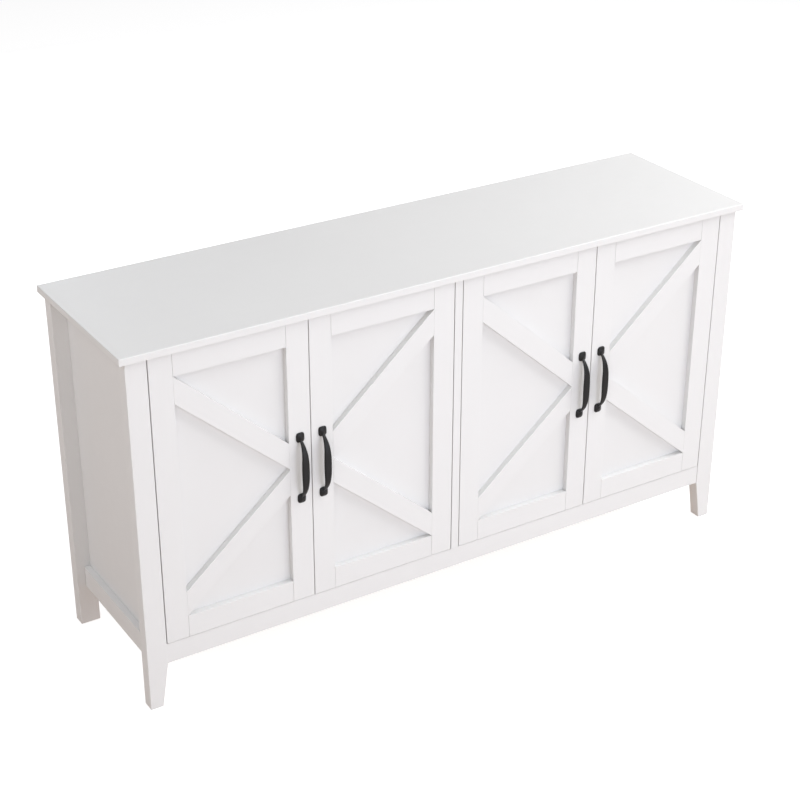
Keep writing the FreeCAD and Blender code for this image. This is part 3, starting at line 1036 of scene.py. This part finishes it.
# ------------------------------------------------------------------ doors
@dataclass
class ArchPull:
    """Black arch pull: two square hobnail feet and a leaf-shaped bow between them."""

    shop: Workshop
    node: str
    body: str
    foot_width: float = 18.5 * MM
    foot_height: float = 21.5 * MM
    foot_base: float = 2.2 * MM
    foot_peak: float = 7.0 * MM
    foot_bulge: float = 3.6
    bow_width: float = 16.5 * MM
    bow_thickness: float = 5.2 * MM
    neck_width: float = 4.6 * MM
    neck_thickness: float = 3.9 * MM
    neck_inset: float = 4.0 * MM
    arch_power: float = 4.0
    swell_power: float = 2.2
    section_corners: Sequence = ((0.70, 1.0), (1.0, 0.35), (1.0, -0.45), (0.72, -1.0))
    section_round: float = 0.09
    rings: int = 61
    foot_points: int = 48

    def build(self) -> None:
        """Build the bow and both feet as one casting and dress it."""
        low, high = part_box(self.node)
        middle = (low + high) / 2
        half = (high.z - low.z - self.foot_height) / 2
        parts = [self.bow(middle.x, high.y, high.y - low.y, middle.z, half)]
        parts += [self.foot(middle.x, high.y, middle.z + side * half) for side in (-1, 1)]
        mesh = solid_mesh(f"{self.node}.cast", *joined(parts))
        self.shop.fit(mesh, self.body, "black_metal", Run.UPRIGHT, [self.node], smooth=28.0)

    def bow(self, x: float, face: float, reach: float, middle: float, half: float) -> Surface:
        """Bow as a bevelled section carried along an arch.

        The arch stands out by a root plus its rise times one minus a power of the share
        of the way from the middle. The section is at right angles to the arch. It swells
        from the neck to the middle as one minus a power of the same share, with a flat
        front narrower than its widest line and a rounded back.

        Args:
            x: Middle of the bow across the door.
            face: Depth of the door's face.
            reach: Distance from the face to the front of the bow.
            middle: Height of the bow's middle.
            half: Distance from there to each foot's middle.

        Returns:
            Points, four-sided faces and end faces.
        """
        share = np.linspace(-1, 1, self.rings)
        span = half - self.neck_inset
        root = self.foot_base
        rise = reach - self.bow_thickness / 2 - root
        out = root + rise * (1 - np.abs(share) ** self.arch_power)
        up = middle + share * span
        tangent = unit_rows(np.stack([np.gradient(out), np.gradient(up)], axis=-1))
        swell = 1 - np.abs(share) ** self.swell_power
        width = self.neck_width + (self.bow_width - self.neck_width) * swell
        thick = self.neck_thickness + (self.bow_thickness - self.neck_thickness) * swell
        section = self.section()
        across = section[:, 0][None] * width[:, None] / 2
        through = section[:, 1][None] * thick[:, None] / 2
        points = np.stack([x + across,
                           face - (out[:, None] + through * tangent[:, 1:2]),
                           up[:, None] - through * tangent[:, 0:1]], axis=-1)
        count = len(section)
        last = (self.rings - 1) * count
        caps = [list(range(count))[::-1], list(range(last, last + count))]
        return points.reshape(-1, 3), grid_quads(self.rings, count), caps

    def section(self) -> Array:
        """Section of the bow, from -1 to 1 both ways: a bevelled bar with slightly rounded corners.

        Returns:
            Its points in order, with the front of the bow at 1 in the second column.
        """
        right = np.array(self.section_corners)
        corners = np.concatenate([right * (-1, 1), right[::-1]])
        points, _ = rounded_outline(corners, self.section_round, 2)
        return points

    def foot(self, x: float, face: float, z: float) -> Surface:
        """Foot as a rounded square with a low pyramid on it.

        Ring i is a superellipse that shrinks towards the middle; its height is the base
        plus the peak's rise times one minus the ring's share, eased at the tip.

        Args:
            x: Middle of the foot across the door.
            face: Depth of the door's face.
            z: Height of the foot's middle.

        Returns:
            Points, four-sided faces and end faces.
        """
        angle = np.linspace(0, 2 * math.pi, self.foot_points, endpoint=False)
        power = self.foot_bulge
        bulge = (np.abs(np.cos(angle)) ** power + np.abs(np.sin(angle)) ** power) ** (-1 / power)
        ring_share = np.array([0.97, 1.0, 1.0, 0.97, 0.90, 0.76, 0.60, 0.44, 0.30, 0.18, 0.08, 0.0])
        slope = self.foot_peak - self.foot_base
        rise = slope * (1 - ring_share[4:]) * (1 - 0.12 * (1 - ring_share[4:]) ** 3)
        edge = [0, 0.3 * MM, self.foot_base - 0.5 * MM, self.foot_base]
        out = np.concatenate([edge, self.foot_base + 0.25 * MM + rise])
        radius = ring_share[:, None] * bulge
        points = np.stack([x + radius * np.cos(angle) * self.foot_width / 2,
                           np.broadcast_to((face - out)[:, None], radius.shape),
                           z + radius * np.sin(angle) * self.foot_height / 2], axis=-1)
        return points.reshape(-1, 3), grid_quads(len(out), len(angle)), [list(range(len(angle)))]


@dataclass
class ScrewHeads:
    """Cross-recessed screws with a domed head and a plain shank.

    The recess's depth is a share of the head's height, its reach and its sloping ends
    are shares of the head's radius, and its sloping walls are a share of its width.
    """

    head_radius: float
    head_height: float
    shank_radius: float
    recess_width: float = 0.9 * MM
    recess_depth: float = 0.65
    recess_reach: float = 0.62
    recess_wall: float = 0.5
    recess_end: float = 0.1
    rings: int = 13
    count: int = 40

    def screw(self, seat: Sequence[float], axis: int, way: float, length: float) -> Surface:
        """One screw with its head's seat at a point.

        The head's height is a flattened dome less a cross-shaped hollow with sloping
        walls: the hollow's depth falls off with the distance from the nearer slot.

        Args:
            seat: Point on the screw's axis under its head.
            axis: Direction of the screw.
            way: 1 if the head looks along the axis, -1 if against it.
            length: Length of the shank.

        Returns:
            Points, faces and end faces.
        """
        share = np.linspace(0, 1, self.rings)
        dome = self.head_height * (1 - share ** 3) ** 0.5
        shank = np.array([[self.head_radius, 0.0], [self.shank_radius, 0.0],
                          [self.shank_radius, -length + self.shank_radius], [0.0, -length]])
        profile = np.concatenate([np.stack([share * self.head_radius, dome], axis=-1), shank])
        points = turned_rings(profile, self.count)
        cross = np.abs(points[: self.rings, :, :2])
        near, far = cross.min(axis=-1), cross.max(axis=-1)
        wall = np.clip((self.recess_width - near) / (self.recess_wall * self.recess_width), 0, 1)
        radius = self.head_radius
        end = np.clip((self.recess_reach * radius - far) / (self.recess_end * radius), 0, 1)
        points[: self.rings, :, 2] -= self.recess_depth * self.head_height * wall * end
        placed = np.empty_like(points)
        placed[..., axis] = seat[axis] + way * points[..., 2]
        placed[..., (axis + 1) % 3] = seat[(axis + 1) % 3] + points[..., 0]
        placed[..., (axis + 2) % 3] = seat[(axis + 2) % 3] + points[..., 1]
        return placed.reshape(-1, 3), grid_quads(len(profile), self.count), []


@dataclass
class Door:
    """One framed door with its panel, braces, pull, screws and hinge cups."""

    shop: Workshop
    number: int
    frame_ease: float = 0.6 * MM
    joint_line: float = 0.35 * MM
    brace_ease: float = 0.5 * MM
    panel_ease: float = 0.2 * MM
    ear_length: float = 62.0 * MM
    ear_half_width: float = 7.0 * MM
    flange_radius: float = 19.0 * MM
    flange_height: float = 1.2 * MM
    flange_points: int = 120
    cup_radius: float = 17.4 * MM
    cup_wall: float = 0.9 * MM
    cup_points: int = 48
    cup_screw_spread: float = 24.0 * MM
    cup_screw_length: float = 9.5 * MM
    pull_shank: float = 2.0 * MM
    smooth_angle: float = 35.0
    body: str = field(init=False)
    way: float = field(init=False)

    def __post_init__(self) -> None:
        """Work out the door's body and the way it runs from its hinge edge."""
        self.body = f"door_{self.number}"
        hinge, meeting = (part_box(self.node(name)) for name in ("hinge_stile", "meeting_stile"))
        self.way = math.copysign(1.0, meeting[0].x - hinge[0].x)

    def node(self, name: str) -> str:
        """Name of one of this door's CAD nodes."""
        return f"door_{self.number}_{name}"

    def build(self) -> None:
        """Build and dress every piece of the door."""
        for name in ("hinge_stile", "meeting_stile"):
            self.shop.dress(self.node(name), "painted_frame", Run.UPRIGHT, self.frame_ease)
        self.build_rails()
        self.build_panel()
        self.build_braces()
        ArchPull(self.shop, self.node("handle"), self.body).build()
        self.build_pull_screws()
        self.build_cups()

    def build_rails(self) -> None:
        """Rails: a section rebated for the panel, carried across to a hairline from each stile."""
        panel_low, panel_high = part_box(self.node("panel"))
        for name, edge in (("top_rail", panel_high.z), ("bottom_rail", panel_low.z)):
            low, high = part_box(self.node(name))
            seat = panel_low.y
            if name == "top_rail":
                inner = [(seat, low.z), (seat, edge), (high.y, edge), (high.y, high.z)]
            else:
                inner = [(high.y, low.z), (high.y, edge), (seat, edge), (seat, high.z)]
            section = [(low.y, low.z), *inner, (low.y, high.z)]
            span = (low.x + self.joint_line, high.x - self.joint_line)
            mesh = eased_bar(f"{self.node(name)}.planed", X, span, section, self.frame_ease)
            self.shop.fit(mesh, self.body, "painted_frame", Run.LENGTHWISE, [self.node(name)])

    def build_panel(self) -> None:
        """Flat panel behind the frame."""
        mesh = plain_bar(f"{self.node('panel')}.board", self.node("panel"), Z, self.panel_ease)
        self.shop.fit(mesh, self.body, "painted_panel", Run.UPRIGHT, [self.node("panel")])

    def build_braces(self) -> None:
        """Braces: four-cornered outlines of the door's front, carried in depth."""
        for name in ("upper_brace", "lower_brace"):
            node = self.node(name)
            low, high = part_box(node)
            points = node_points(node)
            left = points[points[:, X] < low.x + NEAR]
            right = points[points[:, X] > high.x - NEAR]
            corners = [(left[:, Z].min(), low.x), (right[:, Z].min(), high.x),
                       (right[:, Z].max(), high.x), (left[:, Z].max(), low.x)]
            mesh = eased_bar(f"{node}.planed", Y, (low.y, high.y), corners, self.brace_ease)
            rising = (right[:, Z].max() - left[:, Z].max()) > 0
            run = Run.RISING if rising else Run.FALLING
            self.shop.fit(mesh, self.body, "painted_frame", run, [node])

    def build_pull_screws(self) -> None:
        """Two screws of the pull, their heads at the back of the door."""
        node = self.node("handle_screws")
        low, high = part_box(node)
        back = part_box(self.node("meeting_stile"))[1].y
        middle = (low + high) / 2
        maker = ScrewHeads((high.x - low.x) / 2, high.y - back, self.pull_shank)
        heights = (low.z + maker.head_radius, high.z - maker.head_radius)
        parts = [maker.screw((middle.x, back, z), Y, 1.0, back - low.y) for z in heights]
        mesh = solid_mesh(f"{node}.turned", *joined(parts))
        self.shop.fit(mesh, self.body, "steel_screw", Run.UPRIGHT, [node], smooth=self.smooth_angle)

    def hinge_heights(self) -> tuple[float, float]:
        """Height of each hinge of this door."""
        low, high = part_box(self.node("hinge_cups"))
        return low.z + self.ear_length / 2, high.z - self.ear_length / 2

    def build_cups(self) -> None:
        """Cups: a turned bowl under an eared flange, with two screws each."""
        node = self.node("hinge_cups")
        low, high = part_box(node)
        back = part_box(self.node("hinge_stile"))[1].y
        x = (low.x + high.x) / 2
        flange_back = back + self.flange_height
        maker = ScrewHeads(3.4 * MM, high.y - flange_back, 1.7 * MM, recess_width=0.75 * MM)
        parts = []
        for z in self.hinge_heights():
            parts += [self.bowl(x, z, flange_back, low.y), self.flange(x, z, back, flange_back)]
            for side in (-1, 1):
                seat = (x, flange_back, z + side * self.cup_screw_spread)
                parts.append(maker.screw(seat, Y, 1.0, self.cup_screw_length))
        mesh = solid_mesh(f"{node}.pressed", *joined(parts))
        self.shop.fit(mesh, self.body, "hinge_steel", Run.UPRIGHT, [node], smooth=self.smooth_angle)

    def bowl(self, x: float, z: float, mouth: float, bottom: float) -> Surface:
        """Bowl of a cup: an outer wall, a floor and an inner wall turned about the bore.

        Args:
            x: Middle of the bore across the door.
            z: Height of its middle.
            mouth: Depth of the bowl's open end.
            bottom: Depth of its closed end.

        Returns:
            Points and four-sided faces, with no end faces.
        """
        outer, wall = self.cup_radius, self.cup_wall
        inner = outer - wall
        profile = np.array([
            [0, bottom], [outer - 1.5 * MM, bottom], [outer - 0.4 * MM, bottom + 0.4 * MM],
            [outer, bottom + 1.5 * MM], [outer, mouth - 0.1 * MM], [outer - 0.2 * MM, mouth + 0.05 * MM],
            [inner, mouth - 0.2 * MM], [inner, bottom + 2.6 * MM], [inner - 1.6 * MM, bottom + wall],
            [0, bottom + wall]])
        rings = turned_rings(profile, self.cup_points)
        points = np.stack([x + rings[..., 0], rings[..., 2], z + rings[..., 1]], axis=-1)
        return points.reshape(-1, 3), grid_quads(len(profile), self.cup_points), []

    def flange(self, x: float, z: float, back: float, mouth: float) -> Surface:
        """Flange ring with two ears.

        Its outer radius at each angle is the larger of a circle and a narrow
        superellipse that runs up and down, and its inner edge is the bowl's mouth.

        Args:
            x: Middle of the bore across the door.
            z: Height of its middle.
            back: Depth of the door's back.
            mouth: Depth of the flange's outer side.

        Returns:
            Points and four-sided faces, with no end faces.
        """
        angle = np.linspace(0, 2 * math.pi, self.flange_points, endpoint=False)
        cosine, sine = np.cos(angle), np.sin(angle)
        across, along = np.abs(cosine) / self.ear_half_width, np.abs(sine) / (self.ear_length / 2)
        ear = (across ** 4 + along ** 4) ** -0.25
        outer = np.maximum(self.flange_radius, ear)
        inner = np.full_like(angle, self.cup_radius - 0.3 * MM)
        arris = 0.35 * MM
        rings = [(inner, back), (outer, back), (outer, mouth - arris), (outer - arris, mouth), (inner, mouth),
                 (inner, back)]
        points = np.stack([np.stack([x + radius * cosine, np.full_like(angle, y), z + radius * sine], -1)
                           for radius, y in rings])
        return points.reshape(-1, 3), grid_quads(len(rings), len(angle)), []


# ------------------------------------------------------------------ fittings on the carcass
@dataclass
class HingeArms:
    """Arms on their plates with screws, one for each hinge cup."""

    shop: Workshop
    doors: Sequence[Door]
    node: str = "hinge_arms"
    wall_gap: float = 2.0 * MM
    plate_length: float = 44.0 * MM
    plate_height: float = 33.0 * MM
    arm_length: float = 48.0 * MM
    arm_width: float = 11.0 * MM
    arm_height: float = 16.0 * MM
    nose_reach: float = 30.0 * MM
    nose_thickness: float = 5.0 * MM
    nose_inset: float = 1.0 * MM
    nose_ease: float = 1.2 * MM
    arm_sink: float = 0.2 * MM
    arm_ease: float = 2.2 * MM
    ease: float = 0.8 * MM
    plate_screw_spread: tuple[float, float] = (12.5 * MM, 12.0 * MM)
    plate_screw_length: float = 9.5 * MM
    adjuster_depths: tuple[float, float] = (14.0 * MM, 34.0 * MM)
    adjuster_length: float = 4.0 * MM
    smooth_angle: float = 35.0

    def build(self) -> None:
        """Build all arms as one group and dress it."""
        parts = []
        for door in self.doors:
            low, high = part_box(door.node("hinge_stile"))
            edge = low.x if door.way > 0 else high.x
            for z in door.hinge_heights():
                parts += self.arm(edge, door.way, z)
        mesh = solid_mesh(f"{self.node}.pressed", *joined(parts))
        self.shop.fit(mesh, "carcass", "hinge_steel", Run.DEEP, [self.node], smooth=self.smooth_angle)

    @staticmethod
    def block(x: tuple[float, float], y: tuple[float, float], z: tuple[float, float],
              ease: float) -> Surface:
        """Eased block carried along the depth."""
        outline, normals = rounded_outline(rectangle(z, (min(x), max(x))), ease)
        return carried_profile(Y, eased_rings(*y, outline, normals, ease * 0.8))

    def arm(self, edge: float, way: float, z: float) -> list[Surface]:
        """Plate, bent arm, nose, adjusting screws and plate screws of one hinge.

        Args:
            edge: Place of the door's hinge edge across the cabinet.
            way: 1 if the door runs towards +X from there, -1 if towards -X.
            z: Height of the hinge.

        Returns:
            Points, four-sided faces and end faces of each of its parts.
        """
        low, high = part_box(self.node)
        front = low.y
        plate_front = high.y - self.plate_length
        wall = edge - way * self.wall_gap
        raised = edge + way * self.arm_width
        half_plate, half_arm = self.plate_height / 2, self.arm_height / 2
        half_nose = half_arm - self.nose_inset
        parts = [
            self.block((wall, edge), (plate_front, plate_front + self.plate_length),
                       (z - half_plate, z + half_plate), self.ease),
            self.block((edge - way * self.arm_sink, raised), (front, front + self.arm_length),
                       (z - half_arm, z + half_arm), self.arm_ease),
            self.block((edge, edge + way * self.nose_reach), (front, front + self.nose_thickness),
                       (z - half_nose, z + half_nose), self.nose_ease),
        ]
        plate_screw = ScrewHeads(3.4 * MM, 1.5 * MM, 1.7 * MM, recess_width=0.75 * MM)
        adjuster = ScrewHeads(2.8 * MM, 0.9 * MM, 1.6 * MM, recess_width=0.7 * MM)
        middle = plate_front + self.plate_length / 2
        along, up = self.plate_screw_spread
        for side in (-1, 1):
            seat = (edge, middle + side * along, z + side * up)
            parts.append(plate_screw.screw(seat, X, way, self.plate_screw_length))
        for depth in self.adjuster_depths:
            parts.append(adjuster.screw((raised, front + depth, z), X, way, self.adjuster_length))
        return parts


@dataclass
class ShelfPins:
    """Turned pins with collars under both shelves."""

    shop: Workshop
    node: str = "shelf_pins"
    pin_radius: float = 2.5 * MM
    collar_radius: float = 4.0 * MM
    depth: float = 8.0 * MM
    reach: float = 8.0 * MM
    collar_height: float = 1.5 * MM
    count: int = 28
    smooth_angle: float = 35.0

    def build(self) -> None:
        """Build the eight pins as one group and dress it."""
        low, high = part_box(self.node)
        part_low, part_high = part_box("centre_partition")
        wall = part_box("left_side_panel")[1].x
        faces = ((wall, 1.0), (part_low.x, -1.0), (part_high.x, 1.0), (-wall, -1.0))
        rows = (low.y + self.collar_radius, high.y - self.collar_radius)
        z = (low.z + high.z) / 2
        pin, collar, top = self.pin_radius, self.collar_radius, self.collar_height
        profile = np.array([
            [0, -self.depth], [pin - 0.4 * MM, -self.depth], [pin, -self.depth + 0.6 * MM], [pin, 0],
            [collar, 0], [collar, top - 0.3 * MM], [collar - 0.3 * MM, top], [pin, top],
            [pin, self.reach - 0.8 * MM], [pin - 0.7 * MM, self.reach], [0, self.reach]])
        rings = turned_rings(profile, self.count)
        quads = grid_quads(len(profile), self.count)
        parts = []
        for face, way in faces:
            for y in rows:
                points = np.stack([face + way * rings[..., 2], y + rings[..., 0], z + rings[..., 1]], -1)
                parts.append((points.reshape(-1, 3), quads, []))
        mesh = solid_mesh(f"{self.node}.turned", *joined(parts))
        self.shop.fit(mesh, "carcass", "steel_screw", Run.LENGTHWISE, [self.node], smooth=self.smooth_angle)


# ------------------------------------------------------------------ studio
@dataclass(frozen=True)
class SoftBox:
    """Square soft light: where it hangs, what it looks at, its size, power and tint."""

    name: str
    place: Place
    aim: Place
    size: float
    power: float
    tint: Colour = (1.0, 1.0, 1.0)

    def hang(self) -> None:
        """Put the light in the scene."""
        data = bpy.data.lights.new(self.name, "AREA")
        data.shape = "SQUARE"
        data.size = self.size
        data.energy = self.power
        data.color = self.tint
        lamp = bpy.data.objects.new(self.name, data)
        bpy.context.scene.collection.objects.link(lamp)
        lamp.location = self.place
        lamp.rotation_mode = "QUATERNION"
        lamp.rotation_quaternion = (Vector(self.aim) - Vector(self.place)).to_track_quat("-Z", "Y")


@dataclass
class Studio:
    """Pale floor, soft lights and the camera."""

    camera_turn: float = -31.76
    camera_rise: float = 27.58
    station: Place = (-1.8359, -2.9037, 1.8039)
    lens: float = 79.26
    shift: tuple[float, float] = (0.0054, 0.0105)
    floor_half: float = 40.0
    floor_pale: Colour = (0.51, 0.51, 0.51)
    floor_dark: Colour = (0.49, 0.49, 0.49)
    floor_roughness: float = 0.85
    mottle_size: float = 0.8
    floor_glow: Colour = (0.180, 0.095, 0.040)
    floor_white: Colour = (0.78, 0.78, 0.78)
    sky_tint: Colour = (1.0, 0.98, 1.0)
    sky_strength: float = 0.19
    sky_white: Colour = (4.6, 4.6, 4.6)
    soft_boxes: Sequence[SoftBox] = (
        SoftBox("key_box", (2.6, -3.2, 2.9), (0.2, 0.0, 0.5), 2.8, 25.0, (0.96, 1.0, 1.02)),
        SoftBox("top_box", (2.6, -1.6, 3.8), (0.2, 0.0, 0.5), 3.0, 127.0, (1.0, 0.995, 0.99)),
        SoftBox("right_box", (3.2, 0.5, 3.2), (0.4, 0.0, 0.8), 2.8, 69.0),
        SoftBox("front_left_box", (-3.0, -3.4, 2.2), (-0.2, 0.0, 0.45), 3.0, 45.0),
        SoftBox("left_box", (-3.8, 0.2, 3.0), (-0.75, 0.0, 0.45), 3.0, 57.0, (0.99, 1.0, 1.02)),
        SoftBox("low_box", (0.2, -3.0, 0.75), (0.0, 0.0, 0.2), 1.4, 27.0, (0.94, 1.0, 1.12)),
        SoftBox("back_box", (0.3, 4.4, 0.8), (0.0, 0.2, 0.4), 1.4, 50.0, (0.92, 1.0, 1.08)),
    )

    def build(self) -> None:
        """Set up the floor, the lights and the camera."""
        self.lay_floor()
        self.hang_lights()
        self.place_camera()

    def lay_floor(self) -> None:
        """Wide pale floor with a very faint mottle, over-lit to white for the eye alone."""
        half = self.floor_half
        points = np.array([[-half, -half, 0], [half, -half, 0], [half, half, 0], [-half, half, 0]])
        mesh = bpy.data.meshes.new("studio_floor")
        mesh.from_pydata(points.tolist(), [], [[0, 1, 2, 3]])
        floor = bpy.data.objects.new("studio_floor", mesh)
        bpy.context.scene.collection.objects.link(floor)
        material = bpy.data.materials.new("studio_floor")
        material.use_nodes = True
        desk = NodeDesk(material.node_tree)
        shader = material.node_tree.nodes["Principled BSDF"]
        shader.inputs["Roughness"].default_value = self.floor_roughness
        place = desk.node("ShaderNodeTexCoord")
        mottle = desk.noise(place.outputs["Object"], self.mottle_size)
        base = desk.blend(mottle, opaque(self.floor_pale), opaque(self.floor_dark))
        desk.feed(shader.inputs["Base Color"], base)
        seen = desk.node("ShaderNodeLightPath").outputs["Is Camera Ray"]
        glow = desk.blend(seen, opaque(self.floor_glow), opaque(self.floor_white))
        desk.feed(shader.inputs["Emission Color"], glow)
        shader.inputs["Emission Strength"].default_value = 1.0
        mesh.materials.append(material)

    def hang_lights(self) -> None:
        """Even sky, white for the eye alone, and the soft boxes."""
        world = bpy.data.worlds.new("studio_sky")
        world.use_nodes = True
        back = world.node_tree.nodes["Background"]
        desk = NodeDesk(world.node_tree)
        seen = desk.node("ShaderNodeLightPath").outputs["Is Camera Ray"]
        desk.feed(back.inputs["Color"], desk.blend(seen, opaque(self.sky_tint), opaque(self.sky_white)))
        back.inputs["Strength"].default_value = self.sky_strength
        bpy.context.scene.world = world
        for box in self.soft_boxes:
            box.hang()
        bpy.context.scene.view_settings.view_transform = "Standard"

    def place_camera(self) -> None:
        """Camera at its station from the middle of the box, turned and raised as given."""
        low, high = CAD_BOX
        turn, rise = math.radians(self.camera_turn), math.radians(self.camera_rise)
        back = Vector((math.sin(turn) * math.cos(rise), -math.cos(turn) * math.cos(rise), math.sin(rise)))
        data = bpy.data.cameras.new("camera")
        data.lens = self.lens
        data.shift_x, data.shift_y = self.shift
        camera = bpy.data.objects.new("camera", data)
        bpy.context.scene.collection.objects.link(camera)
        camera.location = (low + high) / 2 + Vector(self.station)
        camera.rotation_mode = "QUATERNION"
        camera.rotation_quaternion = (-back).to_track_quat("-Z", "Y")
        bpy.context.scene.camera = camera


def main() -> None:
    """Build the sideboard's sub-assemblies in order, then the studio."""
    logging.basicConfig(level=logging.INFO, format="%(name)s: %(message)s")
    shop = Workshop(Finishes())
    Carcass(shop).build()
    doors = [Door(shop, number) for number in (1, 2, 3, 4)]
    for door in doors:
        door.build()
    HingeArms(shop, doors).build()
    ShelfPins(shop).build()
    Studio().build()


if __name__ == "__main__":
    main()
